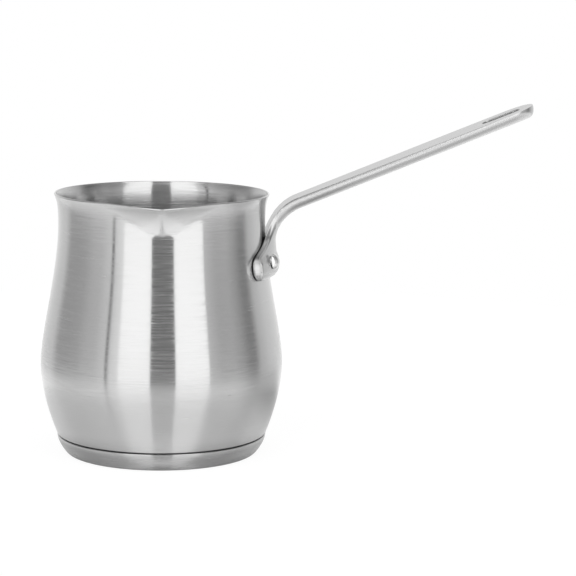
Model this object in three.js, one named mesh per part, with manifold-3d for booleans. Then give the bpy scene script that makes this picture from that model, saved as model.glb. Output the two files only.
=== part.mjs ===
// Small stainless-steel coffee pot (cezve) with a pouring spout and a riveted long handle.
// Millimetres, +Z up. The origin is the centre of the flat underside of the base, on the pot's
// axis. The handle points along +X and the spout along -Y.

import * as THREE from 'three';
import { LoftGeometry } from 'three/addons/geometries/LoftGeometry.js';
import { mergeVertices } from 'three/addons/utils/BufferGeometryUtils.js';
import Module from 'manifold-3d';

const wasm = await Module();
wasm.setup();

// ---------------------------------------------------------------- driving dimensions

const GAP = 0.3; // clearance between pieces that touch

const pot = {
  height: 110,
  wall: 0.8,
  rimRadius: 45.1,
  neckRadius: 43.4,
  neckHeight: 97.5,
  bellyRadius: 51.05,
  bellyHeight: 37.3,
  footRadius: 44.35, // just above the groove over the base cap
  footHeight: 8.3,
  footSlope: 0.4, // how fast the foot widens upwards
  grooveDepth: 1.1,
  grooveHeight: 0.7,
  floorRadius: 37, // flat part of the floor
  floorHeight: 5, // underside of the pot's own floor
  cornerReach: 3, // how gently the floor turns up into the wall
  lipHeight: 0.5, // rounded edge of the rim
  turns: 72, // facets round the pot
};

// How far the wall's curve keeps its direction, along Z, at each of the points it passes.
const hold = { aboveFoot: 9, belowBelly: 9, aboveBelly: 15, belowNeck: 21, aboveNeck: 8 };
const lipSlope = { out: 0.9, up: 1.9 };

const spout = {
  reach: 4.6, // how far the tip stands out from the rim's circle
  drop: 1.3, // how far the tip lies below the rest of the rim
  halfWidth: 20, // from the crease to where the rim's circle resumes
  depth: 13, // height of the pressed area under the rim
  footHalfWidth: 4,
  opening: 1.15, // how quickly the pressed area widens from its foot
  creaseRadius: 1, // softens the fold
};

const cap = {
  height: 7.6,
  sheet: 0.6,
  floorRadius: 40,
  rimRadius: 44.25,
  edge: 0.3, // rounding of the upper edge
  cornerHold: { out: 0.9, up: 0.2 }, // the floor's turn up into the wall
  wallHold: { out: 0.2, up: 2.7 }, // the wall's slope under the edge
};

const disc = {
  radius: 39.6,
  chamferWidth: 0.4,
  chamferHeight: 0.8,
  bottom: cap.sheet + GAP,
  top: pot.floorHeight - GAP,
};

const flange = {
  bottom: 75.7,
  halfWidth: 26.8, // measured round the wall
  cornerRadius: 4,
  thickness: 4.5, // in the middle; the outer face is crowned
  edgeShare: 0.95, // of the thickness left at the edges of the wings
  shoulderEdgeShare: 0.57, // the same above the waist, where the crown is stronger
  edgeRadius: 0.9,
  underRounding: 5.5, // height over which the outer face rounds in to the bottom edge
  shoulderStart: 5.2, // above the bottom edge, where the wings begin to narrow
  shoulderEnd: 26, // where they have narrowed to the neck of the handle
  shoulderHold: { lower: 8.8, upper: 15.5 }, // how long the outline keeps straight at each end
  flatFrom: 12.6, // above the bottom edge, where the inner face stops following the round wall
  flatBy: 25.6, // where it has become flat
};

// The handle thins a little where it leaves the wings, then thickens towards the bar.
const waist = { depth: 0.6, start: 7.1, end: 10.1, thickenFrom: 13, thickenTo: 36 };

// The bar is narrow and thick at the bend and widens and thins towards its tip.
const bar = {
  neckHalfWidth: 7,
  halfWidth: 10.6,
  wideningHold: { lower: 25, upper: 40 }, // how long its outline keeps straight at each end
  neckThickness: 5.3,
  thickness: 4.87,
  roundFrom: 16, // above the bottom edge, where the outer face begins to round over
  roundBy: 31, // where it is round from edge to edge
  edgeHeight: 0.35, // blunt edge between the flat face and the round one
  slope: THREE.MathUtils.degToRad(21.65),
  bendRadius: 19.9, // of the inner face that turns into the bar's flat top
  bendHeight: 90.2, // where the handle leaves the wall
  tipX: 155.6,
  noseLength: 3.5, // the underside rounds up over this length
};

const slot = { outerX: 150.1, length: 16.8, halfWidth: 3.5 };

const rivet = {
  angle: THREE.MathUtils.degToRad(20), // either side of the handle
  height: 82.6,
  shankRadius: 2,
  headRadius: 3.3,
  headHeight: 2.1,
  insideRadius: 3.8,
  insideHeight: 1.1,
  insideEdge: 0.5,
  insideGap: 0.4, // the flat inner head clears the curved wall
  outsideGap: 0.5, // and the outer head clears the crowned wing
  turns: 24,
};
const rivetSides = [-1, 1];

const steel = { color: 0xb9b9b8, roughness: 0.32, metalness: 1 };
const brightSteel = { color: 0xd6d6d4, roughness: 0.22, metalness: 1 };
const aluminium = { color: 0xc4c6c8, roughness: 0.5, metalness: 1 };

// ---------------------------------------------------------------- helpers

const v2 = (x, y) => new THREE.Vector2(x, y);

const cubic = (...points) => new THREE.CubicBezierCurve(...points.map(([x, y]) => v2(x, y)));

const arcOf = (x, y, radius, from, to, clockwise) => (
  new THREE.EllipseCurve(x, y, radius, radius, from, to, clockwise, 0)
);

// Joins curves and single points into one profile without doubled points.
function profile(...steps) {
  const points = [];
  for (const step of steps) {
    const [curve, divisions] = step;
    const added = curve instanceof THREE.Curve ? curve.getPoints(divisions) : [v2(...step)];
    for (const point of added) {
      const last = points.at(-1);
      if (!last || last.distanceTo(point) > 0.001) points.push(point);
    }
  }
  return points;
}

// A profile of (radius, height) points turned round the Z axis.
function turned(points, segments) {
  return new THREE.LatheGeometry(points, segments).rotateX(Math.PI / 2);
}

// Merges shared corners and drops the flat triangles that lie on the axis.
function closed(geometry) {
  const bare = new THREE.BufferGeometry().copy(geometry);
  bare.deleteAttribute('normal');
  bare.deleteAttribute('uv');
  const merged = mergeVertices(bare, 0.0001);
  const index = merged.getIndex().array;
  const kept = [];
  for (let i = 0; i < index.length; i += 3) {
    const [a, b, c] = index.slice(i, i + 3);
    if (a !== b && b !== c && c !== a) kept.push(a, b, c);
  }
  merged.setIndex(kept);
  return merged;
}

function solid(geometry) {
  const merged = closed(geometry);
  return new wasm.Manifold(new wasm.Mesh({
    numProp: 3,
    vertProperties: new Float32Array(merged.getAttribute('position').array),
    triVerts: new Uint32Array(merged.getIndex().array),
  }));
}

function cut(geometry, tools) {
  let result = solid(geometry);
  for (const tool of tools) result = result.subtract(solid(tool));
  const { vertProperties, triVerts } = result.getMesh();
  const output = new THREE.BufferGeometry();
  output.setAttribute('position', new THREE.BufferAttribute(vertProperties, 3));
  output.setIndex(new THREE.BufferAttribute(triVerts, 1));
  return output;
}

function piece(name, geometry, finish) {
  const shape = geometry.toNonIndexed();
  shape.computeVertexNormals();
  const mesh = new THREE.Mesh(shape, new THREE.MeshStandardMaterial(finish));
  mesh.name = name;
  return mesh;
}

// ---------------------------------------------------------------- the pot's wall

const lowerBelly = cubic(
  [pot.footRadius, pot.footHeight],
  [pot.footRadius + hold.aboveFoot * pot.footSlope, pot.footHeight + hold.aboveFoot],
  [pot.bellyRadius, pot.bellyHeight - hold.belowBelly],
  [pot.bellyRadius, pot.bellyHeight],
);

const upperBelly = cubic(
  [pot.bellyRadius, pot.bellyHeight],
  [pot.bellyRadius, pot.bellyHeight + hold.aboveBelly],
  [pot.neckRadius, pot.neckHeight - hold.belowNeck],
  [pot.neckRadius, pot.neckHeight],
);

const flare = cubic(
  [pot.neckRadius, pot.neckHeight],
  [pot.neckRadius, pot.neckHeight + hold.aboveNeck],
  [pot.rimRadius - lipSlope.out, pot.height - pot.lipHeight - lipSlope.up],
  [pot.rimRadius, pot.height - pot.lipHeight],
);

const wallCurves = [[lowerBelly, 6], [upperBelly, 9], [flare, 5]];

// Outer radius of the wall at a height, from the same curves.
const finelySampled = profile(...wallCurves.map(([curve]) => [curve, 200]));

function wallRadius(height) {
  const above = finelySampled.findIndex((point) => point.y >= height);
  const [low, high] = [finelySampled[above - 1], finelySampled[above]];
  const share = (height - low.y) / (high.y - low.y);
  return THREE.MathUtils.lerp(low.x, high.x, share);
}

// ---------------------------------------------------------------- pot body

// Presses the V-shaped spout out of the front of the rim. Both skins of the wall move together.
function pressSpout(geometry) {
  const position = geometry.getAttribute('position');
  const corner = new THREE.Vector3();
  for (let i = 0; i < position.count; i += 1) {
    corner.fromBufferAttribute(position, i);
    const fromFoot = (corner.z - (pot.height - spout.depth)) / spout.depth;
    if (fromFoot <= 0 || corner.y >= 0) continue;
    const sideways = Math.abs(corner.x);
    const opened = Math.min(fromFoot * spout.opening, 1);
    const halfWidth = THREE.MathUtils.lerp(spout.footHalfWidth, spout.halfWidth, opened);
    const softened = Math.hypot(sideways, spout.creaseRadius) - spout.creaseRadius;
    const share = Math.max(1 - softened / halfWidth, 0);
    corner.y -= spout.reach * fromFoot * share;
    corner.z -= spout.drop * fromFoot ** 2 * share;
    position.setXYZ(i, corner.x, corner.y, corner.z);
  }
}

function potBody() {
  const inside = (curve, divisions) => (
    curve.getPoints(divisions).map((point) => [point.x - pot.wall, point.y]).reverse()
  );
  const rimMiddle = pot.rimRadius - pot.wall / 2;
  const floorTop = pot.floorHeight + pot.wall;
  const cornerStart = pot.floorRadius + pot.wall;
  const grooveRadius = pot.footRadius - pot.grooveDepth;
  const underCorner = cubic(
    [cornerStart, pot.floorHeight],
    [cornerStart + pot.cornerReach, pot.floorHeight],
    [grooveRadius - pot.wall / 2, pot.footHeight - pot.grooveHeight - pot.wall / 2],
    [grooveRadius, pot.footHeight - pot.grooveHeight],
  );
  const innerCorner = cubic(
    [pot.footRadius - pot.wall, pot.footHeight + pot.wall],
    [pot.footRadius - 2 * pot.wall, pot.footHeight - pot.wall],
    [pot.floorRadius + pot.cornerReach, floorTop],
    [pot.floorRadius, floorTop],
  );
  const cornerSteps = 3;
  const outline = profile(
    [0, pot.floorHeight],
    [underCorner, cornerSteps],
    ...wallCurves,
    [rimMiddle, pot.height],
    ...wallCurves.toReversed().flatMap(([curve, divisions]) => inside(curve, divisions)),
    [innerCorner, cornerSteps],
    [0, floorTop],
  );
  const shell = closed(turned(outline, pot.turns));
  pressSpout(shell);
  return cut(shell, rivetSides.map((side) => rivetHole(side)));
}

// ---------------------------------------------------------------- base

function heatDisc() {
  return closed(turned([
    v2(0, disc.bottom),
    v2(disc.radius - disc.chamferWidth, disc.bottom),
    v2(disc.radius, disc.bottom + disc.chamferHeight),
    v2(disc.radius, disc.top),
    v2(0, disc.top),
  ], pot.turns));
}

function baseCap() {
  const wallTop = cap.height - cap.edge;
  const outside = cubic(
    [cap.floorRadius, 0],
    [cap.floorRadius + cap.cornerHold.out, cap.cornerHold.up],
    [cap.rimRadius - cap.wallHold.out, wallTop - cap.wallHold.up],
    [cap.rimRadius, wallTop],
  );
  const wallSteps = 4;
  const inner = outside.getPoints(wallSteps).map((point) => (
    [point.x - cap.sheet, point.y + cap.edge]
  ));
  return closed(turned(profile(
    [0, 0],
    [outside, wallSteps],
    [cap.rimRadius - cap.edge, cap.height],
    ...inner.slice(1, -1).reverse(),
    [cap.floorRadius - cap.sheet, cap.sheet],
    [0, cap.sheet],
  ), pot.turns));
}

// ---------------------------------------------------------------- handle

const { lerp, smoothstep } = THREE.MathUtils;
const bendAngle = Math.PI / 2 - bar.slope;
const bendLength = bar.bendRadius * bendAngle;
const bendX = wallRadius(bar.bendHeight) + GAP; // inner face where the bend begins
const bendCentre = v2(bendX + bar.bendRadius, bar.bendHeight);
const flangeLength = bar.bendHeight - flange.bottom;
const straightStart = v2(
  bendCentre.x - bar.bendRadius * Math.sin(bar.slope),
  bendCentre.y + bar.bendRadius * Math.cos(bar.slope),
);
const straightLength = (bar.tipX - straightStart.x) / Math.cos(bar.slope);
const handleLength = flangeLength + bendLength + straightLength;

// The handle's inner line at a distance from its lower edge: up the wall, round the bend and
// along the bar. Gives the point and the direction in which the handle is thick.
function innerLine(distance) {
  if (distance < flangeLength) {
    const z = flange.bottom + distance;
    return { x: wallRadius(z) + GAP, z, outX: 1, outZ: 0 };
  }
  const turn = Math.min((distance - flangeLength) / bar.bendRadius, bendAngle);
  const along = Math.max(distance - flangeLength - bendLength, 0);
  const outX = Math.cos(turn);
  const outZ = -Math.sin(turn);
  return {
    x: bendCentre.x - bar.bendRadius * outX - along * outZ,
    z: bendCentre.y - bar.bendRadius * outZ + along * outX,
    outX,
    outZ,
  };
}

// Half the handle's width against the distance, from the wings down to the neck and out again.
const noseStart = handleLength - bar.halfWidth;
const sideOutline = profile(
  [cubic(
    [flange.shoulderStart, flange.halfWidth],
    [flange.shoulderStart + flange.shoulderHold.lower, flange.halfWidth],
    [flange.shoulderEnd - flange.shoulderHold.upper, bar.neckHalfWidth],
    [flange.shoulderEnd, bar.neckHalfWidth],
  ), 60],
  [cubic(
    [flange.shoulderEnd, bar.neckHalfWidth],
    [flange.shoulderEnd + bar.wideningHold.lower, bar.neckHalfWidth],
    [noseStart - bar.wideningHold.upper, bar.halfWidth],
    [noseStart, bar.halfWidth],
  ), 60],
);

function halfWidthAt(distance) {
  if (distance < flange.cornerRadius) {
    const rise = flange.cornerRadius - distance;
    const inset = flange.cornerRadius - Math.sqrt(flange.cornerRadius ** 2 - rise ** 2);
    return flange.halfWidth - inset;
  }
  if (distance <= flange.shoulderStart) return flange.halfWidth;
  if (distance >= noseStart) {
    return Math.sqrt(bar.halfWidth ** 2 - (distance - noseStart) ** 2);
  }
  const after = sideOutline.findIndex((point) => point.x >= distance);
  const [low, high] = [sideOutline[after - 1], sideOutline[after]];
  return lerp(low.y, high.y, (distance - low.x) / (high.x - low.x));
}

// Rounded end of a thickness: 0 at the very end, 1 once past the rounding.
const rounding = (fromEnd, length) => Math.sqrt(1 - (1 - Math.min(fromEnd / length, 1)) ** 2);

function thicknessAt(distance) {
  const thin = flange.thickness - waist.depth;
  const leaving = waist.depth * (1 - smoothstep(distance, waist.start, waist.end));
  const alongBar = Math.max((distance - waist.thickenTo) / (handleLength - waist.thickenTo), 0);
  const barThickness = lerp(bar.neckThickness, bar.thickness, alongBar);
  const growing = (barThickness - thin) * smoothstep(distance, waist.thickenFrom, waist.thickenTo);
  return (thin + leaving + growing)
    * rounding(distance, flange.underRounding)
    * rounding(handleLength - distance, bar.noseLength);
}

const roundnessAt = (distance) => smoothstep(distance, bar.roundFrom, bar.roundBy);

// How far the outer face stands off the inner one: crowned with rounded edges on the wings, a
// half ellipse on the bar.
function depthAt(distance, across) {
  const halfWidth = halfWidthAt(distance);
  const thickness = thicknessAt(distance);
  const share = Math.min(Math.abs(across) / halfWidth, 1);
  const aboveWaist = smoothstep(distance, waist.start, waist.end);
  const atEdge = thickness * lerp(flange.edgeShare, flange.shoulderEdgeShare, aboveWaist);
  const corner = Math.min(flange.edgeRadius, atEdge / 2, halfWidth);
  const intoCorner = Math.max((Math.abs(across) - halfWidth + corner) / corner, 0);
  const crowned = atEdge + (thickness - atEdge) * (1 - share ** 2)
    - corner * (1 - Math.sqrt(Math.max(1 - intoCorner ** 2, 0)));
  const blunt = Math.min(bar.edgeHeight, thickness / 3);
  const round = blunt + (thickness - blunt) * Math.sqrt(1 - share ** 2);
  return lerp(crowned, round, roundnessAt(distance));
}

// One closed section: over the outer face, then back along the inner face.
function handleSection(distance) {
  const line = innerLine(distance);
  const halfWidth = halfWidthAt(distance);
  const edge = Math.min(lerp(flange.edgeRadius, halfWidth, roundnessAt(distance)), halfWidth);
  const nearlyFlat = 0.00001;
  const curl = (1 - smoothstep(distance, flange.flatFrom, flange.flatBy)) / line.x + nearlyFlat;

  const place = (across, depth) => {
    const angle = across * curl;
    const out = (1 / curl + depth) * Math.cos(angle) - 1 / curl;
    return new THREE.Vector3(
      line.x + line.outX * out,
      (1 / curl + depth) * Math.sin(angle),
      line.z + line.outZ * out,
    );
  };

  const edgeSteps = 5;
  const flatSteps = 12;
  const across = [];
  for (let i = 0; i < edgeSteps; i += 1) {
    across.push(-halfWidth + edge * (1 - Math.cos((i / edgeSteps) * (Math.PI / 2))));
  }
  for (let i = 0; i <= flatSteps; i += 1) {
    across.push(lerp(-halfWidth + edge, halfWidth - edge, i / flatSteps));
  }
  for (let i = edgeSteps - 1; i >= 0; i -= 1) across.push(-across[i]);

  const outer = across.map((offset) => place(offset, depthAt(distance, offset)));
  const inner = across.map((offset) => place(offset, 0));
  return [...outer, ...inner.reverse()];
}

// Distances of the sections: close together where the outline turns.
function handleDistances() {
  const tiny = 0.03; // the end sections are not quite closed to a line
  const list = [];
  const lowerCorner = 6;
  for (let i = 0; i < lowerCorner; i += 1) {
    list.push(tiny + flange.cornerRadius * (1 - Math.cos((i / lowerCorner) * (Math.PI / 2))));
  }
  const evenly = (from, to, steps) => {
    for (let i = 0; i < steps; i += 1) list.push(lerp(from, to, i / steps));
  };
  evenly(flange.cornerRadius, flangeLength, 8);
  evenly(flangeLength, flangeLength + bendLength, 12);
  evenly(flangeLength + bendLength, noseStart, 7);
  const noseSteps = 9;
  for (let i = 0; i < noseSteps; i += 1) {
    list.push(handleLength - bar.halfWidth * (1 - Math.sin((i / noseSteps) * (Math.PI / 2))));
  }
  list.push(handleLength - tiny);
  return list;
}

// The hanging slot's cutter, square to the bar's flat top.
function slotCutter() {
  const outline = new THREE.Shape();
  const straight = slot.length - 2 * slot.halfWidth;
  outline.absarc(0, 0, slot.halfWidth, -Math.PI / 2, Math.PI / 2, false);
  outline.absarc(-straight, 0, slot.halfWidth, Math.PI / 2, (3 * Math.PI) / 2, false);
  outline.closePath();
  const depth = 4 * bar.thickness;
  const centreAlong = (slot.outerX - straightStart.x) / Math.cos(bar.slope) - slot.halfWidth;
  return new THREE.ExtrudeGeometry(outline, { depth, bevelEnabled: false, curveSegments: 10 })
    .translate(0, 0, -depth / 2)
    .rotateY(-bar.slope)
    .translate(
      straightStart.x + centreAlong * Math.cos(bar.slope),
      0,
      straightStart.y + centreAlong * Math.sin(bar.slope),
    );
}

function handle() {
  const loft = new LoftGeometry(
    handleDistances().map((distance) => handleSection(distance)),
    { capStart: true, capEnd: true },
  );
  return cut(loft, [slotCutter(), ...rivetSides.map((side) => rivetHole(side))]);
}

// ---------------------------------------------------------------- rivets

// Both rivets stand square to the wall, which leans outwards going down.
const wallLean = Math.atan((wallRadius(rivet.height - 1) - wallRadius(rivet.height + 1)) / 2);

// Turns a shape made along +Z, with its origin on the wall's outer face, onto the pot.
function ontoWall(geometry, side) {
  return geometry
    .rotateY(Math.PI / 2 - wallLean)
    .translate(wallRadius(rivet.height), 0, rivet.height)
    .rotateZ(side * rivet.angle);
}

function rivetHole(side) {
  const holeRadius = rivet.shankRadius + GAP;
  const length = 4 * (pot.wall + flange.thickness);
  const hole = new THREE.CylinderGeometry(holeRadius, holeRadius, length, rivet.turns);
  return ontoWall(hole.rotateX(Math.PI / 2), side);
}

function rivetBody(side) {
  const wingDepth = depthAt(rivet.height - flange.bottom, rivet.angle * wallRadius(rivet.height));
  const outerFace = GAP + wingDepth + rivet.outsideGap;
  const innerFace = -pot.wall - rivet.insideGap;
  const innerEnd = innerFace - rivet.insideHeight;
  const domeRadius = (rivet.headRadius ** 2 + rivet.headHeight ** 2) / (2 * rivet.headHeight);
  const domeCentre = outerFace + rivet.headHeight - domeRadius;
  const domeStart = Math.asin((outerFace - domeCentre) / domeRadius);
  const outline = profile(
    [0, innerEnd],
    [rivet.insideRadius - rivet.insideEdge, innerEnd],
    [rivet.insideRadius, innerEnd + rivet.insideEdge],
    [rivet.insideRadius, innerFace],
    [rivet.shankRadius, innerFace],
    [rivet.shankRadius, outerFace],
    [arcOf(0, domeCentre, domeRadius, domeStart, Math.PI / 2, false), 6],
  );
  return ontoWall(closed(turned(outline, rivet.turns)), side);
}

// ---------------------------------------------------------------- assembly

const coffeePot = new THREE.Group();
coffeePot.add(piece('pot_body', potBody(), steel));
coffeePot.add(piece('heat_disc', heatDisc(), aluminium));
coffeePot.add(piece('base_cap', baseCap(), steel));
coffeePot.add(piece('handle', handle(), brightSteel));
coffeePot.add(piece('rivet_front', rivetBody(-1), brightSteel));
coffeePot.add(piece('rivet_back', rivetBody(1), brightSteel));

export default coffeePot;
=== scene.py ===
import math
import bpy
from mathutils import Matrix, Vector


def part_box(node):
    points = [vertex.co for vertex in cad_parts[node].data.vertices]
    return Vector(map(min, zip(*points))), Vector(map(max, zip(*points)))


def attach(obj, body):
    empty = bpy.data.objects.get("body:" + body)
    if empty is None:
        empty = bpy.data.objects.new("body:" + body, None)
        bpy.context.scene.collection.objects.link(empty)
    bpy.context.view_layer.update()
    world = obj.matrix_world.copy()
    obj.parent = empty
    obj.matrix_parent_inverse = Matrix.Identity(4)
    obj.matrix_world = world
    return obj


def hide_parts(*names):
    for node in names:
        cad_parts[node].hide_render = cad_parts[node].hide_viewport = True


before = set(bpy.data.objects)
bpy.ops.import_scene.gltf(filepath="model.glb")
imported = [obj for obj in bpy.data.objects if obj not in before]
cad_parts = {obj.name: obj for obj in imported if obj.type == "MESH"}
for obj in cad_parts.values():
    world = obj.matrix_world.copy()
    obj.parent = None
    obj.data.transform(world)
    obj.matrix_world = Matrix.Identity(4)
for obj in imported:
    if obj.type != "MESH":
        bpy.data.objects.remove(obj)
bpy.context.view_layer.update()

# Small stainless-steel coffee pot (cezve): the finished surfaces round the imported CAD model.
# +Z is up, the handle points along +X and the spout along -Y. Lengths are millimetres until
# a mesh is made, where MM turns them into metres.

from types import SimpleNamespace as Sizes

import bpy
from mathutils import Matrix, Vector

MM = 0.001
QUARTER = math.pi / 2

# Points closer than this are one point, and a flat section of the handle still has this curl.
SAME_POINT = 1e-4
LEAST_CURL = 1e-5


def cad_corners(node):
    """Lowest and highest corner of a CAD node, in millimetres."""
    low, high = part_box(node)
    return low / MM, high / MM


# ---------------------------------------------------------------- sizes

# Edges that turn by more than this many degrees stay sharp.
sharp_turn = Sizes(turned=40, handle=35)

pot_low, pot_high = cad_corners("pot_body")
cap_high = cad_corners("base_cap")[1]

# The foot's edge starts at a share of the way from the groove to the foot. Its hold is how far
# its curve's second point lies inside and below the foot, and its top is how far it reaches up.
pot = Sizes(
    height=pot_high.z,
    wall=0.8,
    rim_radius=45.1,
    neck_radius=43.4,
    neck_height=97.5,
    belly_radius=pot_high.x,
    belly_height=37.3,
    foot_radius=44.35,
    foot_height=8.3,
    foot_slope=0.4,
    groove_depth=1.1,
    groove_height=0.7,
    floor_radius=37,
    floor_height=pot_low.z,
    corner_reach=3,
    foot_edge_from=0.8,
    foot_edge_hold=(0.03, 0.02),
    foot_edge_top=0.3,
    lip_height=0.5,
    turns=360,
)

# How far the wall's curve keeps its direction, along Z, at each of the points it passes.
hold = Sizes(above_foot=9, below_belly=9, above_belly=15, below_neck=21, above_neck=8)
lip_slope = Sizes(out=0.9, up=1.9)

# The spout is a crease in front, deepest at the rim, between two straight boundaries that open
# from its foot. They reach their full width at 1 / opening of its depth above the foot, and from
# there on they are upright.
spout = Sizes(
    reach=4.6,
    drop=1.3,
    half_width=20,
    depth=13,
    foot_half_width=4,
    opening=1.15,
    crease_radius=1.3,
    foot_crease_radius=0.5,
    boundary_softness=0.1,
)

cap = Sizes(
    height=cap_high.z,
    sheet=0.6,
    floor_radius=40,
    rim_radius=cap_high.x,
    edge=0.3,
    corner_hold=(0.9, 0.2),
    wall_hold=(0.2, 2.7),
    turns=256,
)

# The flange is the handle's two wings, and its shoulders narrow to the neck of the bar. An edge
# share is the thickness at the side as a share of that in the middle, and a lean is how far the
# side face moves inwards for each millimetre outwards. All distances along the handle, here and
# below, start at its lower edge. From flat_from to flat_by the inner face stops following the wall.
flange = Sizes(
    bottom=75.7,
    half_width=26.8,
    corner_radius=4,
    thickness=4.5,
    edge_share=0.95,
    shoulder_edge_share=0.57,
    lean=0.24,
    shoulder_lean=0.5,
    inner_edge=0.7,
    edge_radius=0.9,
    under_rounding=5.5,
    shoulder_start=5.2,
    shoulder_end=26,
    shoulder_hold=(8.8, 15.5),
    flat_from=12.6,
    flat_by=25.6,
)

# The flange gets thinner by the waist's depth from start to end, and thickens again to the bar.
waist = Sizes(depth=0.6, start=7.1, end=10.1, thicken_from=13, thicken_to=36)

# From round_from to round_by the section changes from the flange's to the bar's half ellipse. The
# edges of its flat face are soft between soft_by and sharp_from, and sharp before soft_from and
# after sharp_by.
bar = Sizes(
    neck_half_width=7,
    half_width=10.6,
    widening_hold=(25, 40),
    neck_thickness=5.3,
    thickness=4.87,
    round_from=16,
    round_by=31,
    slope=math.radians(21.65),
    bend_radius=19.9,
    bend_height=90.2,
    tip_x=155.5,
    nose_length=3.5,
    inner_edge=0.22,
    sharp_edge=0.06,
    soft_from=60,
    soft_by=74,
    sharp_from=118,
    sharp_by=132,
)

slot = Sizes(outer_x=150.1, length=16.8, half_width=3.5, soft_edge=0.4, overcut=1)

# The rivets' angle is taken from the handle's direction, round the pot's axis. The top of the outer
# head stands its height and the outside gap above the wing, and its underside only the seat.
rivet = Sizes(
    angle=math.radians(20),
    height=82.6,
    shank_radius=2,
    head_radius=3.3,
    head_height=2.1,
    head_edge=0.3,
    outside_gap=0.5,
    seat=0.12,
    inside_radius=3.8,
    inside_height=1.1,
    inside_edge=0.5,
    inside_gap=0.4,
    turns=72,
    hole_turns=48,
)

# Clearance between neighbouring pieces.
GAP = 0.3

# How many steps each curve is divided into.
pot_steps = Sizes(
    lower_wall=32,
    upper_wall=76,
    flare=32,
    lip=12,
    underside=12,
    under_corner=8,
    foot_edge=5,
    inner_corner=12,
    floor=24,
)
cap_steps = Sizes(underside=20, outside=28, crest=8, floor=8)
handle_steps = Sizes(
    side_outline=120,
    corner=16,
    wings=30,
    bend=40,
    bar=40,
    nose=28,
    edge=14,
    side=4,
    flat=18,
    inner_edge=4,
    slot_end=20,
    slot_edge=4,
)
rivet_steps = Sizes(end=5, end_edge=6, shoulder=2, head_edge=5, dome=24)


# ---------------------------------------------------------------- curves

def mix(start, end, share):
    """The value that lies a share of the way from start to end."""
    return start + (end - start) * share


def smooth(value, low, high):
    """0 below low, 1 above high, easing between."""
    share = min(max((value - low) / (high - low), 0), 1)
    return share * share * (3 - 2 * share)


def cubic(start, start_hold, end_hold, end, steps):
    """Points along a Bezier curve, both ends included."""
    points = []
    for i in range(steps + 1):
        t = i / steps
        weights = ((1 - t) ** 3, 3 * t * (1 - t) ** 2, 3 * t * t * (1 - t), t ** 3)
        controls = (start, start_hold, end_hold, end)
        points.append(tuple(
            sum(weight * control[axis] for weight, control in zip(weights, controls))
            for axis in (0, 1)
        ))
    return points


def arc(centre, radius, start, end, steps):
    """Points along a circular arc, both ends included."""
    angles = [mix(start, end, i / steps) for i in range(steps + 1)]
    return [(centre[0] + radius * math.cos(a), centre[1] + radius * math.sin(a)) for a in angles]


def line(start, end, steps):
    """Points along a straight line, both ends included."""
    return [
        (mix(start[0], end[0], i / steps), mix(start[1], end[1], i / steps))
        for i in range(steps + 1)
    ]


def joined(*stretches):
    """One list of points without doubled ones."""
    points = []
    for stretch in stretches:
        for point in stretch:
            if not points or math.dist(points[-1], point) > SAME_POINT:
                points.append(point)
    return points


# ---------------------------------------------------------------- meshes

def mesh_object(name, points, faces):
    """A smooth object from points in millimetres."""
    mesh = bpy.data.meshes.new(name)
    mesh.from_pydata([Vector(point) * MM for point in points], [], faces)
    mesh.polygons.foreach_set("use_smooth", [True] * len(mesh.polygons))
    made = bpy.data.objects.new(name, mesh)
    bpy.context.scene.collection.objects.link(made)
    return made


def revolved(outline, turns):
    """Points and faces of a closed body of revolution; the outline starts and ends on the axis."""
    points = [(0, 0, outline[0][1])]
    faces = []
    rings = outline[1:-1]
    for radius, height in rings:
        for i in range(turns):
            angle = 2 * math.pi * i / turns
            points.append((radius * math.cos(angle), radius * math.sin(angle), height))
    points.append((0, 0, outline[-1][1]))
    last = len(points) - 1
    for i in range(turns):
        j = (i + 1) % turns
        faces.append((0, 1 + j, 1 + i))
        for ring in range(len(rings) - 1):
            low = 1 + ring * turns
            high = low + turns
            faces.append((low + i, low + j, high + j, high + i))
        faces.append((last - turns + i, last - turns + j, last))
    return points, faces


def cut_away(made, tools):
    """Cuts the tools out of an object for good and removes them."""
    for tool in tools:
        step = made.modifiers.new("cut", "BOOLEAN")
        step.operation = "DIFFERENCE"
        step.solver = "EXACT"
        step.object = tool
    evaluated = made.evaluated_get(bpy.context.evaluated_depsgraph_get())
    cut_mesh = bpy.data.meshes.new_from_object(evaluated)
    made.modifiers.clear()
    made.data = cut_mesh
    for tool in tools:
        bpy.data.objects.remove(tool)


def settle_shading(made, sharp_angle):
    """Keeps real edges sharp and lets the large faces rule the shading round cuts."""
    made.data.set_sharp_from_angle(angle=math.radians(sharp_angle))
    weighted = made.modifiers.new("weighted", "WEIGHTED_NORMAL")
    weighted.keep_sharp = True


# ---------------------------------------------------------------- the pot's wall

def wall_curves():
    """The outer skin from the foot to the lip, as (radius, height) points."""
    foot = (pot.foot_radius, pot.foot_height)
    belly = (pot.belly_radius, pot.belly_height)
    neck = (pot.neck_radius, pot.neck_height)
    lip = (pot.rim_radius, pot.height - pot.lip_height)
    lower = cubic(
        foot,
        (foot[0] + hold.above_foot * pot.foot_slope, foot[1] + hold.above_foot),
        (belly[0], belly[1] - hold.below_belly),
        belly,
        pot_steps.lower_wall,
    )
    upper = cubic(
        belly,
        (belly[0], belly[1] + hold.above_belly),
        (neck[0], neck[1] - hold.below_neck),
        neck,
        pot_steps.upper_wall,
    )
    flare = cubic(
        neck,
        (neck[0], neck[1] + hold.above_neck),
        (lip[0] - lip_slope.out, lip[1] - lip_slope.up),
        lip,
        pot_steps.flare,
    )
    return joined(lower, upper, flare)


wall = wall_curves()


def wall_radius(height):
    """Outer radius of the wall at a height."""
    for (low_radius, low), (high_radius, high) in zip(wall, wall[1:]):
        if high >= height:
            return mix(low_radius, high_radius, (height - low) / (high - low))
    return pot.rim_radius


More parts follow.
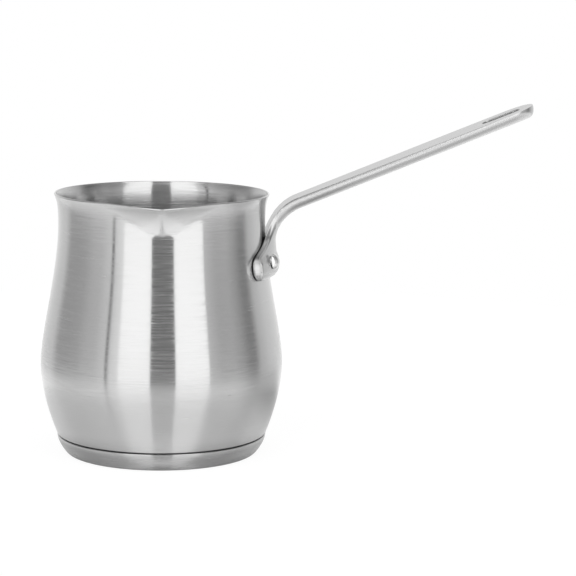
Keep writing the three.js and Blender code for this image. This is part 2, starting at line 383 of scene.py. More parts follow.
# How far the wall leans inwards at the rivets, from its radius 1 mm below and 1 mm above.
wall_lean = math.atan((wall_radius(rivet.height - 1) - wall_radius(rivet.height + 1)) / 2)


def onto_wall(points, side):
    """Moves points made along +Z, with their origin on the wall's outer face, onto the pot."""
    place = (
        Matrix.Rotation(side * rivet.angle, 4, "Z")
        @ Matrix.Translation((wall_radius(rivet.height), 0, rivet.height))
        @ Matrix.Rotation(QUARTER - wall_lean, 4, "Y")
    )
    return [place @ Vector(point) for point in points]


# ---------------------------------------------------------------- pot body

def press_spout(points):
    """Presses the V-shaped spout out of the front of the rim, both skins together."""
    pressed = []
    for x, y, z in points:
        from_foot = (z - (pot.height - spout.depth)) / spout.depth
        if from_foot > 0 and y < 0:
            opened = min(from_foot * spout.opening, 1)
            half_width = mix(spout.foot_half_width, spout.half_width, opened)
            crease = mix(spout.foot_crease_radius, spout.crease_radius, from_foot)
            softened = math.hypot(x, crease) - crease
            tail = 1 - softened / half_width
            share = (tail + math.hypot(tail, spout.boundary_softness)) / 2
            y -= spout.reach * from_foot * share
            z -= spout.drop * from_foot ** 2 * share
        pressed.append((x, y, z))
    return pressed


def rivet_hole(side):
    """Cutter for the hole that a rivet's shank passes through."""
    radius = rivet.shank_radius + GAP
    reach = 2 * (pot.wall + flange.thickness)
    outline = [(0, -reach), (radius, -reach), (radius, reach), (0, reach)]
    points, faces = revolved(outline, rivet.hole_turns)
    return mesh_object("rivet_hole", onto_wall(points, side), faces)


def make_pot_body():
    """The pot's shell: floor, foot, wall, lip and spout in one sheet, with two rivet holes."""
    inner = [(radius - pot.wall, height) for radius, height in reversed(wall)]
    lip_radius = pot.rim_radius - pot.wall / 2
    lip = [
        (
            lip_radius + pot.wall / 2 * math.cos(a),
            pot.height - pot.lip_height + pot.lip_height * math.sin(a),
        )
        for a in (math.pi * i / pot_steps.lip for i in range(pot_steps.lip + 1))
    ]
    floor_top = pot.floor_height + pot.wall
    corner_start = pot.floor_radius + pot.wall
    groove_radius = pot.foot_radius - pot.groove_depth
    groove_base = pot.foot_height - pot.groove_height
    under_corner = cubic(
        (corner_start, pot.floor_height),
        (corner_start + pot.corner_reach, pot.floor_height),
        (groove_radius - pot.wall / 2, groove_base - pot.wall / 2),
        (groove_radius, groove_base),
        pot_steps.under_corner,
    )
    foot = wall[0]
    foot_edge = cubic(
        (
            mix(groove_radius, foot[0], pot.foot_edge_from),
            mix(groove_base, foot[1], pot.foot_edge_from),
        ),
        (foot[0] - pot.foot_edge_hold[0], foot[1] - pot.foot_edge_hold[1]),
        foot,
        (foot[0] + pot.foot_edge_top * pot.foot_slope, foot[1] + pot.foot_edge_top),
        pot_steps.foot_edge,
    )
    inner_corner = cubic(
        (pot.foot_radius - pot.wall, pot.foot_height + pot.wall),
        (pot.foot_radius - 2 * pot.wall, pot.foot_height - pot.wall),
        (pot.floor_radius + pot.corner_reach, floor_top),
        (pot.floor_radius, floor_top),
        pot_steps.inner_corner,
    )
    outline = joined(
        line((0, pot.floor_height), (corner_start, pot.floor_height), pot_steps.underside),
        under_corner,
        foot_edge,
        [point for point in wall if point[1] > foot_edge[-1][1]],
        lip,
        inner,
        inner_corner,
        line((pot.floor_radius, floor_top), (0, floor_top), pot_steps.floor),
    )
    points, faces = revolved(outline, pot.turns)
    made = mesh_object("pot_body_shell", press_spout(points), faces)
    cut_away(made, [rivet_hole(side) for side in (-1, 1)])
    settle_shading(made, sharp_turn.turned)
    return made


# ---------------------------------------------------------------- base cap

def make_base_cap():
    """The pressed cap: a flat floor, a curved wall and a rounded crest."""
    top = cap.height - cap.edge
    outside = cubic(
        (cap.floor_radius, 0),
        (cap.floor_radius + cap.corner_hold[0], cap.corner_hold[1]),
        (cap.rim_radius - cap.wall_hold[0], top - cap.wall_hold[1]),
        (cap.rim_radius, top),
        cap_steps.outside,
    )
    inside = [(radius - cap.sheet, height + cap.edge) for radius, height in reversed(outside)]
    crest = [
        (
            cap.rim_radius - cap.sheet / 2 + cap.sheet / 2 * math.cos(a),
            top + cap.edge * math.sin(a),
        )
        for a in (math.pi * i / cap_steps.crest for i in range(cap_steps.crest + 1))
    ]
    outline = joined(
        line((0, 0), (cap.floor_radius, 0), cap_steps.underside),
        outside,
        crest,
        inside[1:-1],
        line((cap.floor_radius - cap.sheet, cap.sheet), (0, cap.sheet), cap_steps.floor),
    )
    points, faces = revolved(outline, cap.turns)
    return mesh_object("base_cap_shell", points, faces)


# ---------------------------------------------------------------- handle

bend_angle = QUARTER - bar.slope
bend_length = bar.bend_radius * bend_angle
bend_x = wall_radius(bar.bend_height) + GAP
bend_centre = (bend_x + bar.bend_radius, bar.bend_height)
flange_length = bar.bend_height - flange.bottom
straight_start = (
    bend_centre[0] - bar.bend_radius * math.sin(bar.slope),
    bend_centre[1] + bar.bend_radius * math.cos(bar.slope),
)
straight_length = (bar.tip_x - straight_start[0]) / math.cos(bar.slope)
handle_length = flange_length + bend_length + straight_length


def inner_line(distance):
    """Point of the handle's inner line at a distance from its lower edge, and the outward direction."""
    if distance < flange_length:
        height = flange.bottom + distance
        return wall_radius(height) + GAP, height, 1, 0
    turn = min((distance - flange_length) / bar.bend_radius, bend_angle)
    along = max(distance - flange_length - bend_length, 0)
    out_x = math.cos(turn)
    out_z = -math.sin(turn)
    return (
        bend_centre[0] - bar.bend_radius * out_x - along * out_z,
        bend_centre[1] - bar.bend_radius * out_z + along * out_x,
        out_x,
        out_z,
    )


# Half the handle's width against the distance, from the wings down to the neck and out again.
nose_start = handle_length - bar.half_width
side_outline = joined(
    cubic(
        (flange.shoulder_start, flange.half_width),
        (flange.shoulder_start + flange.shoulder_hold[0], flange.half_width),
        (flange.shoulder_end - flange.shoulder_hold[1], bar.neck_half_width),
        (flange.shoulder_end, bar.neck_half_width),
        handle_steps.side_outline,
    ),
    cubic(
        (flange.shoulder_end, bar.neck_half_width),
        (flange.shoulder_end + bar.widening_hold[0], bar.neck_half_width),
        (nose_start - bar.widening_hold[1], bar.half_width),
        (nose_start, bar.half_width),
        handle_steps.side_outline,
    ),
)


def half_width_at(distance):
    """Half the handle's width at a distance from its lower edge."""
    if distance < flange.corner_radius:
        rise = flange.corner_radius - distance
        inset = flange.corner_radius - math.sqrt(flange.corner_radius ** 2 - rise ** 2)
        return flange.half_width - inset
    if distance <= flange.shoulder_start:
        return flange.half_width
    if distance >= nose_start:
        return math.sqrt(bar.half_width ** 2 - (distance - nose_start) ** 2)
    for (low, low_width), (high, high_width) in zip(side_outline, side_outline[1:]):
        if high >= distance:
            return mix(low_width, high_width, (distance - low) / (high - low))
    return bar.half_width


def rounding(from_end, length):
    """0 at a rounded end, 1 once past the rounding."""
    return math.sqrt(1 - (1 - min(from_end / length, 1)) ** 2)


def thickness_at(distance):
    """The handle's thickness at a distance from its lower edge, rounded off at both ends."""
    thin = flange.thickness - waist.depth
    leaving = waist.depth * (1 - smooth(distance, waist.start, waist.end))
    along_bar = max((distance - waist.thicken_to) / (handle_length - waist.thicken_to), 0)
    bar_thickness = mix(bar.neck_thickness, bar.thickness, along_bar)
    growing = (bar_thickness - thin) * smooth(distance, waist.thicken_from, waist.thicken_to)
    return (
        (thin + leaving + growing)
        * rounding(distance, flange.under_rounding)
        * rounding(handle_length - distance, bar.nose_length)
    )


def inner_edge_at(distance):
    """Rounding of the inner face's edge: soft on the wings, nearly sharp at the bend and tip.

    It takes up no more than a third of the section.
    """
    middle_of_bar = (
        smooth(distance, bar.soft_from, bar.soft_by)
        - smooth(distance, bar.sharp_from, bar.sharp_by)
    )
    on_bar = mix(bar.sharp_edge, bar.inner_edge, middle_of_bar)
    edge = mix(flange.inner_edge, on_bar, smooth(distance, waist.end, bar.round_from))
    return min(edge, thickness_at(distance) / 3, half_width_at(distance) / 3)


def depth_at(distance, across):
    """Depth of the outer face: crowned on the wings, a half ellipse on the bar."""
    half_width = half_width_at(distance)
    thickness = thickness_at(distance)
    share = min(abs(across) / half_width, 1)
    at_edge = thickness * mix(
        flange.edge_share, flange.shoulder_edge_share, smooth(distance, waist.start, waist.end)
    )
    corner = min(flange.edge_radius, at_edge / 2, half_width)
    into_corner = max((abs(across) - half_width + corner) / corner, 0)
    crowned = (
        at_edge + (thickness - at_edge) * (1 - share ** 2)
        - corner * (1 - math.sqrt(max(1 - into_corner ** 2, 0)))
    )
    blunt = inner_edge_at(distance)
    rounded = blunt + (thickness - blunt) * math.sqrt(1 - share ** 2)
    return mix(crowned, rounded, smooth(distance, bar.round_from, bar.round_by))


def handle_section(distance):
    """Closed ring of points: over the rounded outer face, then back along the flat inner face."""
    x, z, out_x, out_z = inner_line(distance)
    half_width = half_width_at(distance)
    roundness = smooth(distance, bar.round_from, bar.round_by)
    edge = min(mix(flange.edge_radius, half_width, roundness), half_width)
    inner_edge = inner_edge_at(distance)
    side = depth_at(distance, half_width) - inner_edge
    curl = (1 - smooth(distance, flange.flat_from, flange.flat_by)) / x + LEAST_CURL

    near_edge = [
        -half_width + edge * (1 - math.cos(QUARTER * i / handle_steps.edge))
        for i in range(handle_steps.edge)
    ]
    middle = [
        mix(-half_width + edge, half_width - edge, i / handle_steps.flat)
        for i in range(handle_steps.flat + 1)
    ]
    across = [*near_edge, *middle, *(-offset for offset in reversed(near_edge))]

    lean = mix(flange.lean, flange.shoulder_lean, smooth(distance, waist.start, waist.end))
    lean *= 1 - smooth(distance, bar.round_from, bar.round_by)
    narrowed = 1 - lean * side / half_width
    flank = []
    for i in range(handle_steps.side):
        height = side * i / handle_steps.side
        flank.append((half_width - lean * height, inner_edge + height))
    ring = [(-offset, depth) for offset, depth in flank]
    ring += [(offset * narrowed, depth_at(distance, offset)) for offset in across]
    ring += reversed(flank)
    corner = []
    for i in range(1, handle_steps.inner_edge + 1):
        a = QUARTER * i / handle_steps.inner_edge
        corner.append((
            half_width - inner_edge * (1 - math.cos(a)),
            inner_edge * (1 - math.sin(a)),
        ))
    flat = half_width - inner_edge
    ring += corner
    ring += [
        (mix(flat, -flat, i / handle_steps.flat), 0) for i in range(1, handle_steps.flat)
    ]
    ring += [(-offset, depth) for offset, depth in reversed(corner)]

    placed = []
    for offset, depth in ring:
        angle = offset * curl
        out = (1 / curl + depth) * math.cos(angle) - 1 / curl
        placed.append((x + out_x * out, (1 / curl + depth) * math.sin(angle), z + out_z * out))
    return placed


def handle_distances():
    """Where the sections stand: close together where the outline turns."""
    first = 0.02
    bend_end = flange_length + bend_length
    steps = handle_steps
    return [
        *(
            first + flange.corner_radius * (1 - math.cos(QUARTER * i / steps.corner))
            for i in range(steps.corner)
        ),
        *(mix(flange.corner_radius, flange_length, i / steps.wings) for i in range(steps.wings)),
        *(flange_length + bend_length * i / steps.bend for i in range(steps.bend)),
        *(mix(bend_end, nose_start, i / steps.bar) for i in range(steps.bar)),
        *(
            handle_length - bar.half_width * (1 - math.sin(QUARTER * i / steps.nose))
            for i in range(steps.nose)
        ),
        handle_length - first,
    ]


def slot_cutter():
    """The hanging slot, with a softened edge where it meets the bar's top and underside."""
    straight = slot.length - 2 * slot.half_width
    middle_of_bar = bar.thickness / 2

    def outline(radius):
        ends = arc((0, 0), radius, -QUARTER, QUARTER, handle_steps.slot_end)
        return ends + [(-straight - x, -y) for x, y in ends]

    levels = []
    for i in range(handle_steps.slot_edge + 1):
        a = QUARTER * i / handle_steps.slot_edge
        levels.append((
            middle_of_bar - slot.soft_edge * (1 - math.sin(a)),
            slot.half_width + slot.soft_edge * (1 - math.cos(a)),
        ))
    levels.append((middle_of_bar + slot.overcut, levels[-1][1]))
    levels = [(-depth, radius) for depth, radius in reversed(levels)] + levels

    centre_along = (slot.outer_x - straight_start[0]) / math.cos(bar.slope) - slot.half_width
    place = (
        Matrix.Translation((
            straight_start[0] + centre_along * math.cos(bar.slope),
            0,
            straight_start[1] + centre_along * math.sin(bar.slope),
        ))
        @ Matrix.Rotation(-bar.slope, 4, "Y")
        @ Matrix.Translation((0, 0, -middle_of_bar))
    )
    rings = [
        [place @ Vector((x, y, depth)) for x, y in outline(radius)] for depth, radius in levels
    ]
    return lofted("slot_cutter", rings)


def lofted(name, rings):
    """A closed body through rings of equal length, closed at both ends."""
    count = len(rings[0])
    points = [point for ring in rings for point in ring]
    faces = [tuple(reversed(range(count)))]
    for row in range(len(rings) - 1):
        for i in range(count):
            j = (i + 1) % count
            low = row * count
            high = low + count
            faces.append((low + i, low + j, high + j, high + i))
    faces.append(tuple(range(len(points) - count, len(points))))
    return mesh_object(name, points, faces)


def add_brushing_map(made, rings, distances):
    """UVs in metres: U runs along the handle and V round its section."""
    count = len(rings[0])
    middle = rings[len(rings) // 2]
    around = [0.0]
    for i in range(count):
        around.append(around[-1] + math.dist(middle[i], middle[(i + 1) % count]))
    uv = made.data.uv_layers.new(name="brushing")
    for polygon in made.data.polygons:
        corners = [(loop, made.data.loops[loop].vertex_index) for loop in polygon.loop_indices]
        columns = [vertex % count for _, vertex in corners]
        wraps = max(columns) - min(columns) > 1 and len(corners) == 4
        for (loop, vertex), column in zip(corners, columns):
            if wraps and column == 0:
                column = count
            uv.data[loop].uv = (distances[vertex // count] * MM, around[column] * MM)


def make_handle():
    """The forged bar from the wings to the tip, with its slot and two rivet holes."""
    distances = handle_distances()
    rings = [handle_section(distance) for distance in distances]
    made = lofted("forged_handle", rings)
    add_brushing_map(made, rings, distances)
    cut_away(made, [slot_cutter(), *(rivet_hole(side) for side in (-1, 1))])
    settle_shading(made, sharp_turn.handle)
    return made


# ---------------------------------------------------------------- rivets

def make_rivet(name, side):
    """A rivet from its flat inner head through the wall and the wing to its domed outer head."""
    wing_depth = depth_at(rivet.height - flange.bottom, rivet.angle * wall_radius(rivet.height))
    outer_face = GAP + wing_depth + rivet.seat
    inner_face = -pot.wall - rivet.inside_gap
    inner_end = inner_face - rivet.inside_height
    end_radius = rivet.inside_radius - rivet.inside_edge
    seat_radius = rivet.head_radius - rivet.head_edge
    dome_height = rivet.head_height + rivet.outside_gap - rivet.seat - rivet.head_edge
    dome_radius = (rivet.head_radius ** 2 + dome_height ** 2) / (2 * dome_height)
    dome_base = outer_face + rivet.head_edge
    dome_centre = dome_base + dome_height - dome_radius
    dome_start = math.asin((dome_base - dome_centre) / dome_radius)
    outline = joined(
        line((0, inner_end), (end_radius, inner_end), rivet_steps.end),
        arc(
            (end_radius, inner_end + rivet.inside_edge),
            rivet.inside_edge, -QUARTER, 0, rivet_steps.end_edge,
        ),
        line(
            (rivet.inside_radius, inner_face), (rivet.shank_radius, inner_face),
            rivet_steps.shoulder,
        ),
        line(
            (rivet.shank_radius, outer_face), (seat_radius, outer_face),
            rivet_steps.shoulder,
        ),
        arc(
            (seat_radius, outer_face + rivet.head_edge),
            rivet.head_edge, -QUARTER, 0, rivet_steps.head_edge,
        ),
        arc((0, dome_centre), dome_radius, dome_start, QUARTER, rivet_steps.dome),
    )
    points, faces = revolved(outline, rivet.turns)
    made = mesh_object(name, onto_wall(points, side), faces)
    settle_shading(made, sharp_turn.turned)
    return made


# ---------------------------------------------------------------- materials

# Nearly all values of a noise texture lie between these two.
NOISE_LOW = 0.25
NOISE_HIGH = 0.75
QUARTER_TURN = 0.25


class Tree:
    """A node tree, with short calls to add and join nodes."""

    def __init__(self, tree):
        self.tree = tree

    def add(self, kind, **settings):
        node = self.tree.nodes.new(kind)
        for key, value in settings.items():
            setattr(node, key, value)
        return node

    def link(self, source, target):
        self.tree.links.new(source, target)

    def maths(self, operation, *values):
        """A sum on plain numbers and on other nodes' outputs."""
        node = self.add("ShaderNodeMath", operation=operation)
        for socket, value in zip(node.inputs, values):
            if isinstance(value, (int, float)):
                socket.default_value = value
            else:
                self.link(value, socket)
        return node.outputs[0]

    def spread(self, value, start, end, low, high, easing="LINEAR"):
        """Low where the value is at the start, high where it is at the end, and held past both."""
        node = self.add("ShaderNodeMapRange", interpolation_type=easing)
        node.inputs["From Min"].default_value = start
        node.inputs["From Max"].default_value = end
        node.inputs["To Min"].default_value = low
        node.inputs["To Max"].default_value = high
        self.link(value, node.inputs["Value"])
        return node.outputs[0]

    def parts(self, vector):
        """The X, Y and Z of a vector."""
        node = self.add("ShaderNodeSeparateXYZ")
        self.link(vector, node.inputs[0])
        return node.outputs

    def both(self, first, second):
        """Two shaders added together."""
        node = self.add("ShaderNodeAddShader")
        self.link(first, node.inputs[0])
        self.link(second, node.inputs[1])
        return node.outputs[0]

    def blended(self, share, first, second):
        """The first shader, and the second as far as the share says."""
        node = self.add("ShaderNodeMixShader")
        self.link(share, node.inputs[0])
        self.link(first, node.inputs[1])
        self.link(second, node.inputs[2])
        return node.outputs[0]


class Metal(Tree):
    """A metal material, with calls for the things that its looks are made of."""

    def __init__(self, name):
        self.material = bpy.data.materials.new(name)
        self.material.use_nodes = True
        super().__init__(self.material.node_tree)
        self.shader = self.tree.nodes["Principled BSDF"]
        self.shader.inputs["Metallic"].default_value = 1

    def noise(self, coordinates, scale, detail):
        """Noise stretched by the three factors of scale, each in cells per metre."""
        mapping = self.add("ShaderNodeMapping")
        mapping.inputs["Scale"].default_value = scale
        self.link(coordinates, mapping.inputs["Vector"])
        node = self.add("ShaderNodeTexNoise")
        node.inputs["Scale"].default_value = 1
        node.inputs["Detail"].default_value = detail
        self.link(mapping.outputs[0], node.inputs["Vector"])
        return node.outputs["Fac"]

    def ranged(self, value, low, high):
        """A noise value spread over low to high."""
        return self.spread(value, NOISE_LOW, NOISE_HIGH, low, high)

    def shade(self, colour, factor):
        """The base colour, times a factor near 1."""
        node = self.add("ShaderNodeVectorMath", operation="SCALE")
        node.inputs[0].default_value = colour
        self.link(factor, node.inputs["Scale"])
        self.link(node.outputs[0], self.shader.inputs["Base Color"])

    def roughen(self, roughness):
        """Roughness that changes over the surface."""
        self.link(roughness, self.shader.inputs["Roughness"])

    def bump(self, height, strength, distance):
        """Relief; the distance is in metres."""
        node = self.add("ShaderNodeBump")
        node.inputs["Strength"].default_value = strength
        node.inputs["Distance"].default_value = distance
        self.link(height, node.inputs["Height"])
        self.link(node.outputs[0], self.shader.inputs["Normal"])

    def brush(self, amount, **direction):
        """Draws reflections out across the brushing."""
        tangent = self.add("ShaderNodeTangent", **direction)
        self.link(tangent.outputs[0], self.shader.inputs["Tangent"])
        self.shader.inputs["Anisotropic"].default_value = amount
        self.shader.inputs["Anisotropic Rotation"].default_value = QUARTER_TURN


def around_coordinates(metal):
    """Coordinates for brushing round the Z axis: X and Y plain, Z the distance across it."""
    x, y, z = metal.parts(metal.add("ShaderNodeTexCoord").outputs["Object"])
    square = metal.maths("ADD", metal.maths("MULTIPLY", x, x), metal.maths("MULTIPLY", y, y))
    across = metal.maths("ADD", z, metal.maths("SQRT", square))
    together = metal.add("ShaderNodeCombineXYZ")
    for source, target in zip((x, y, across), together.inputs):
        metal.link(source, target)
    return together.outputs[0]


def brushed_round(name, colour, roughness, streak_contrast):
    """Steel brushed round the pot's axis."""
    metal = Metal(name)
    coordinates = around_coordinates(metal)
    fine = metal.noise(coordinates, scale=(90, 90, 2400), detail=3)
    coarse = metal.noise(coordinates, scale=(25, 25, 900), detail=3)
    cloudy = metal.noise(coordinates, scale=(30, 30, 30), detail=4)
    coarse_share = 0.4
    streaks = metal.maths("ADD", fine, metal.maths("MULTIPLY", coarse, coarse_share))
    streaks = metal.maths("DIVIDE", streaks, 1 + coarse_share)
    shade = metal.maths(
        "MULTIPLY",
        metal.ranged(streaks, low=1 - streak_contrast, high=1 + streak_contrast),
        metal.ranged(cloudy, low=0.98, high=1.02),
    )
    metal.shade(colour, shade)
    rough = metal.maths(
        "MULTIPLY",
        metal.ranged(streaks, low=roughness * 0.4, high=roughness * 1.7),
        metal.ranged(cloudy, low=0.95, high=1.05),
    )
    metal.roughen(rough)
    metal.bump(streaks, strength=0.05, distance=0.00002)
    metal.brush(1, direction_type="RADIAL", axis="Z")
    return metal.material


def satin_along(name, colour, roughness):
    """Satin steel, brushed faintly along the handle, with edges painted brighter: wear and a painted
    edge highlight.
    """
    metal = Metal(name)
    along = metal.add("ShaderNodeUVMap", uv_map="brushing").outputs[0]
    place = metal.add("ShaderNodeTexCoord").outputs["Object"]
    fine = metal.noise(along, scale=(60, 2400, 1), detail=3)
    grain = metal.noise(place, scale=(2200, 2200, 2200), detail=2)
    cloudy = metal.noise(place, scale=(70, 70, 70), detail=4)
    streaks = metal.maths("MULTIPLY", metal.maths("ADD", fine, grain), 0.5)
    # Painted edge highlight, partly wear: convex edges, found by pointiness, get up to 8% lighter base
    # colour.
    pointiness = metal.add("ShaderNodeNewGeometry").outputs["Pointiness"]
    wear_and_edge_highlight = metal.spread(pointiness, start=0.52, end=0.6, low=1, high=1.08)
    shade = metal.maths(
        "MULTIPLY",
        metal.maths("MULTIPLY", metal.ranged(streaks, low=0.975, high=1.025), wear_and_edge_highlight),
        metal.ranged(cloudy, low=0.97, high=1.03),
    )
    metal.shade(colour, shade)
    rough = metal.maths(
        "MULTIPLY",
        metal.ranged(streaks, low=roughness * 0.9, high=roughness * 1.1),
        metal.ranged(cloudy, low=0.93, high=1.07),
    )
    metal.roughen(rough)
    metal.bump(streaks, strength=0.06, distance=0.00003)
    metal.brush(0.4, direction_type="UV_MAP", uv_map="brushing")
    return metal.material


def polished(name, colour, roughness):
    """Upset rivet heads: smoother than the handle, with small marks from the tool."""
    metal = Metal(name)
    place = metal.add("ShaderNodeTexCoord").outputs["Object"]
    marks = metal.noise(place, scale=(900, 900, 900), detail=3)
    fine = metal.noise(place, scale=(4000, 4000, 4000), detail=2)
    metal.shade(colour, metal.ranged(marks, low=0.95, high=1.05))
    metal.roughen(metal.ranged(fine, low=roughness * 0.85, high=roughness * 1.2))
    metal.bump(marks, strength=0.1, distance=0.00004)
    return metal.material


def turned_aluminium(name, colour, roughness):
    """Faced aluminium disc with turning rings."""
    metal = Metal(name)
    coordinates = around_coordinates(metal)
    rings = metal.noise(coordinates, scale=(8, 8, 1400), detail=2)
    patches = metal.noise(coordinates, scale=(90, 90, 90), detail=4)
    shade = metal.maths(
        "MULTIPLY",
        metal.ranged(rings, low=0.94, high=1.06),
        metal.ranged(patches, low=0.94, high=1.04),
    )
    metal.shade(colour, shade)
    metal.roughen(metal.ranged(rings, low=roughness * 0.85, high=roughness * 1.15))
    metal.bump(rings, strength=0.2, distance=0.00005)
    return metal.material


# ---------------------------------------------------------------- the pieces

def grey(level):
    """A colour without hue."""
    return (level, level, level)


def finish_piece(made, material, slot_name, *nodes):
    """Gives a piece its material and puts it in the place of its CAD nodes."""
    made.data.materials.clear()
    made.data.materials.append(material)
    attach(made, "root")
    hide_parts(*nodes)


finish_piece(
    make_pot_body(),
    brushed_round("brushed_pot_steel", grey(0.62), roughness=0.18, streak_contrast=0.04),
    "pot_steel",
    "pot_body",
)
finish_piece(
    make_base_cap(),
    brushed_round("brushed_cap_steel", grey(0.56), roughness=0.2, streak_contrast=0.06),
    "cap_steel",
    "base_cap",
)
finish_piece(
    make_handle(),
    satin_along("satin_handle_steel", grey(0.6), roughness=0.24),
    "handle_steel",
    "handle",
)
rivet_steel = polished("polished_rivet_steel", grey(0.85), roughness=0.22)
finish_piece(make_rivet("front_rivet", -1), rivet_steel, "rivet_steel", "rivet_front")
finish_piece(make_rivet("back_rivet", 1), rivet_steel, "rivet_steel", "rivet_back")

# The hidden heat disc stays the CAD solid and only gets a better material.
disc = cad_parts["heat_disc"]
disc.data.materials.clear()
disc.data.materials.append(
    turned_aluminium("turned_aluminium", (0.7, 0.71, 0.72), roughness=0.42)
)


# ---------------------------------------------------------------- studio

# Brightness of the surroundings by bearing, in degrees from the spout's side towards the handle.
BEARINGS = [
    (-180, 0.95),
    (-130, 0.74),
    (-118, 0.45),
    (-104, 0.45),
    (-91, 0.5),
    (-79, 0.62),
    (-68, 0.68),
    (-60, 0.82),
    (-56, 0.85),
    (-55.2, 0.25),
    (-52.8, 0.25),
    (-51.8, 0.95),
    (-42.4, 1.1),
    (-41.6, 1.48),
    (45.2, 1.48),
    (46, 0.74),
    (60, 0.56),
    (74, 0.57),
    (84, 0.46),
    (94, 0.3),
    (101, 0.3),
    (110, 0.64),
    (126, 0.8),
    (180, 0.95),
]

# The bands' contrast grows to this power between two elevations, in degrees.
overhead = Sizes(start=12, end=32, contrast=1.5)

# Below the horizon the surroundings turn into more of the table: a level of its own and a share
# of the bands. That happens between two slopes of the direction, its height over its reach
# towards the spout's side, which is taken as no less than least_reach.
far_table = Sizes(level=0.85, band_share=0.33, slope=-0.64, bands_slope=-0.5, least_reach=0.52)

table = Sizes(radius=440, rings=24, turns=96)
card = Sizes(left=-180, right=212, bottom=-420, top=1300, y=-950, glow=0.23)

# The camera's place is in metres.
camera_place = (0, -0.914, 0.2125)
camera_turn = Sizes(
    yaw=math.radians(3.34),
    pitch=math.radians(8.88),
    roll=math.radians(0.60),
)


def light_surroundings():
    """Soft boxes either side of the pot as bands of the sky, seen only in reflections."""
    world = bpy.data.worlds.new("studio")
    bpy.context.scene.world = world
    world.use_nodes = True
    nodes = Tree(world.node_tree)
    nodes.tree.nodes.clear()

    x, y, z = nodes.parts(nodes.add("ShaderNodeTexCoord").outputs["Generated"])
    towards = nodes.maths("MULTIPLY", y, -1)
    bearing = nodes.maths("ARCTAN2", x, towards)
    ramp = nodes.add("ShaderNodeValToRGB")
    nodes.link(nodes.spread(bearing, -math.pi, math.pi, low=0, high=1), ramp.inputs[0])
    brightest = max(level for _, level in BEARINGS)
    stops = ramp.color_ramp.elements
    while len(stops) < len(BEARINGS):
        stops.new(0.5)
    for stop, (angle, level) in zip(stops, BEARINGS):
        stop.position = (angle + 180) / 360
        stop.color = (*grey(level / brightest), 1)
    contrast = nodes.spread(
        z,
        start=math.sin(math.radians(overhead.start)),
        end=math.sin(math.radians(overhead.end)),
        low=1,
        high=overhead.contrast,
    )
    bands = nodes.maths(
        "MULTIPLY", nodes.maths("POWER", ramp.outputs[0], contrast), brightest
    )

    reach = nodes.maths("MAXIMUM", towards, far_table.least_reach)
    above_table = nodes.spread(
        nodes.maths("DIVIDE", z, reach),
        start=far_table.slope,
        end=far_table.bands_slope,
        low=0,
        high=1,
        easing="SMOOTHSTEP",
    )
    below = nodes.maths("MULTIPLY_ADD", bands, far_table.band_share, far_table.level)
    strength = nodes.add("ShaderNodeMix", data_type="FLOAT")
    nodes.link(above_table, strength.inputs["Factor"])
    nodes.link(below, strength.inputs["A"])
    nodes.link(bands, strength.inputs["B"])

    seen = nodes.add("ShaderNodeBackground")
    seen.inputs["Color"].default_value = (1, 1, 1, 1)
    reflected = nodes.add("ShaderNodeBackground")
    reflected.inputs["Color"].default_value = (1, 1, 1, 1)
    nodes.link(strength.outputs["Result"], reflected.inputs["Strength"])
    directly = nodes.add("ShaderNodeLightPath").outputs["Is Camera Ray"]
    choice = nodes.blended(directly, reflected.outputs[0], seen.outputs[0])
    nodes.link(choice, nodes.add("ShaderNodeOutputWorld").inputs[0])


def table_top():
    """A flat round mesh in rings."""
    points = [(0, 0, 0)]
    for ring in range(1, table.rings + 1):
        radius = table.radius * ring / table.rings
        for i in range(table.turns):
            angle = 2 * math.pi * i / table.turns
            points.append((radius * math.cos(angle), radius * math.sin(angle), 0))
    faces = []
    for i in range(table.turns):
        j = (i + 1) % table.turns
        faces.append((0, 1 + i, 1 + j))
        for ring in range(table.rings - 1):
            low = 1 + ring * table.turns
            high = low + table.turns
            faces.append((low + i, high + i, high + j, low + j))
    return mesh_object("floor", points, faces)


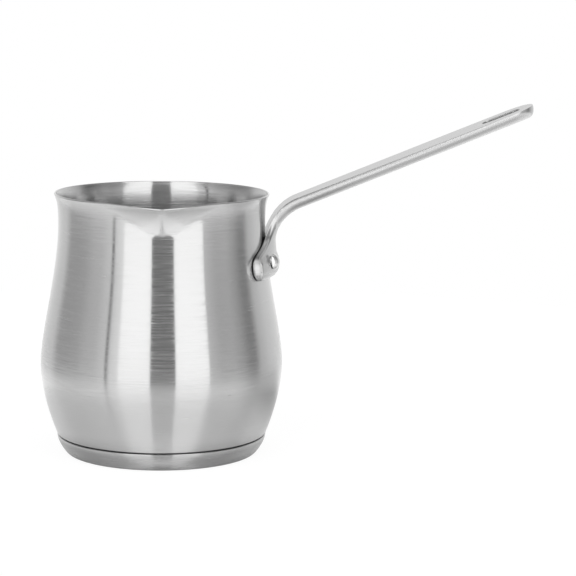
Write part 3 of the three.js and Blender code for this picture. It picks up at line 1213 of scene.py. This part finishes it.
def lay_floor():
    """White table top, bright enough to join the white background.

    Seen directly it is plain. Reflections see it graded by the distance from the pot's axis, in
    metres, with a painted contact shadow round the foot, a painted shadow beside the handle and
    painted glow in a ring and near the foot; further out it gives way to the surroundings.
    """
    floor = table_top()
    material = bpy.data.materials.new("white_table")
    material.use_nodes = True
    nodes = Tree(material.node_tree)
    nodes.tree.nodes.clear()

    def eased(value, start, end, low, high):
        return nodes.spread(value, start, end, low, high, easing="SMOOTHSTEP")

    place = nodes.add("ShaderNodeTexCoord").outputs["Object"]
    from_axis = nodes.add("ShaderNodeVectorMath", operation="LENGTH")
    nodes.link(place, from_axis.inputs[0])
    distance = from_axis.outputs["Value"]
    # Painted shadow of the handle: the table's matt and glossy colour darken round a point beside the
    # handle.
    from_shade = nodes.add("ShaderNodeVectorMath", operation="DISTANCE")
    from_shade.inputs[1].default_value = (0.155, 0.05, 0)
    nodes.link(place, from_shade.inputs[0])
    shade = eased(from_shade.outputs["Value"], start=0.03, end=0.125, low=0.35, high=1)

    # Painted contact shadow: the matt colour is darker within about 50 mm of the axis, round the foot.
    contact_shadow = eased(distance, start=0.047, end=0.058, low=0.35, high=0.84)
    matt = nodes.add("ShaderNodeBsdfDiffuse")
    nodes.link(nodes.maths("MULTIPLY", contact_shadow, shade), matt.inputs["Color"])
    mirrored = eased(distance, start=0.047, end=0.058, low=0.38, high=0.28)
    gloss = nodes.add("ShaderNodeBsdfAnisotropic")
    gloss.inputs["Roughness"].default_value = 0.1
    nodes.link(nodes.maths("MULTIPLY", mirrored, shade), gloss.inputs["Color"])
    # Painted light: the table glows in a ring about 105 to 240 mm from the axis, faintly everywhere and
    # more close to the foot.
    ring = nodes.maths(
        "MULTIPLY",
        eased(distance, start=0.105, end=0.145, low=0, high=1),
        eased(distance, start=0.15, end=0.24, low=0.32, high=0),
    )
    close = eased(distance, start=0.05, end=0.066, low=0.14, high=0.05)
    painted_glow = nodes.add("ShaderNodeEmission")
    nodes.link(nodes.maths("ADD", ring, close), painted_glow.inputs["Strength"])
    graded = nodes.both(nodes.both(matt.outputs[0], gloss.outputs[0]), painted_glow.outputs[0])
    away = nodes.spread(distance, start=0.11, end=0.42, low=0, high=1)
    clear = nodes.add("ShaderNodeBsdfTransparent")
    reflected = nodes.blended(away, graded, clear.outputs[0])

    faint = nodes.add("ShaderNodeBsdfDiffuse")
    faint.inputs["Color"].default_value = (*grey(0.12), 1)
    glow = nodes.add("ShaderNodeEmission")
    glow.inputs["Strength"].default_value = 0.93
    seen = nodes.both(faint.outputs[0], glow.outputs[0])
    directly = nodes.add("ShaderNodeLightPath").outputs["Is Camera Ray"]
    output = nodes.add("ShaderNodeOutputMaterial")
    nodes.link(nodes.blended(directly, reflected, seen), output.inputs["Surface"])
    floor.data.materials.append(material)


def hang_grey_card():
    """Grey card beyond the camera: the dark band down the middle of the pot."""
    made = mesh_object(
        "grey_card",
        [
            (card.left, card.y, card.bottom),
            (card.right, card.y, card.bottom),
            (card.right, card.y, card.top),
            (card.left, card.y, card.top),
        ],
        [(0, 1, 2, 3)],
    )
    material = bpy.data.materials.new("grey_card")
    material.use_nodes = True
    nodes = Tree(material.node_tree)
    nodes.tree.nodes.clear()
    glow = nodes.add("ShaderNodeEmission")
    glow.inputs["Strength"].default_value = card.glow
    output = nodes.add("ShaderNodeOutputMaterial")
    nodes.link(glow.outputs[0], output.inputs["Surface"])
    made.data.materials.append(material)
    made.visible_camera = False


def place_camera():
    """Camera in front of the spout, a little above the rim, turned slightly to the handle."""
    data = bpy.data.cameras.new("camera")
    data.sensor_width = 36
    data.lens = 136.7
    camera = bpy.data.objects.new("camera", data)
    camera.matrix_world = (
        Matrix.Translation(camera_place)
        @ Matrix.Rotation(-camera_turn.yaw, 4, "Z")
        @ Matrix.Rotation(QUARTER - camera_turn.pitch, 4, "X")
        @ Matrix.Rotation(camera_turn.roll, 4, "Z")
    )
    bpy.context.scene.collection.objects.link(camera)
    bpy.context.scene.camera = camera


bpy.context.scene.view_settings.view_transform = "Standard"
light_surroundings()
lay_floor()
hang_grey_card()
place_camera()
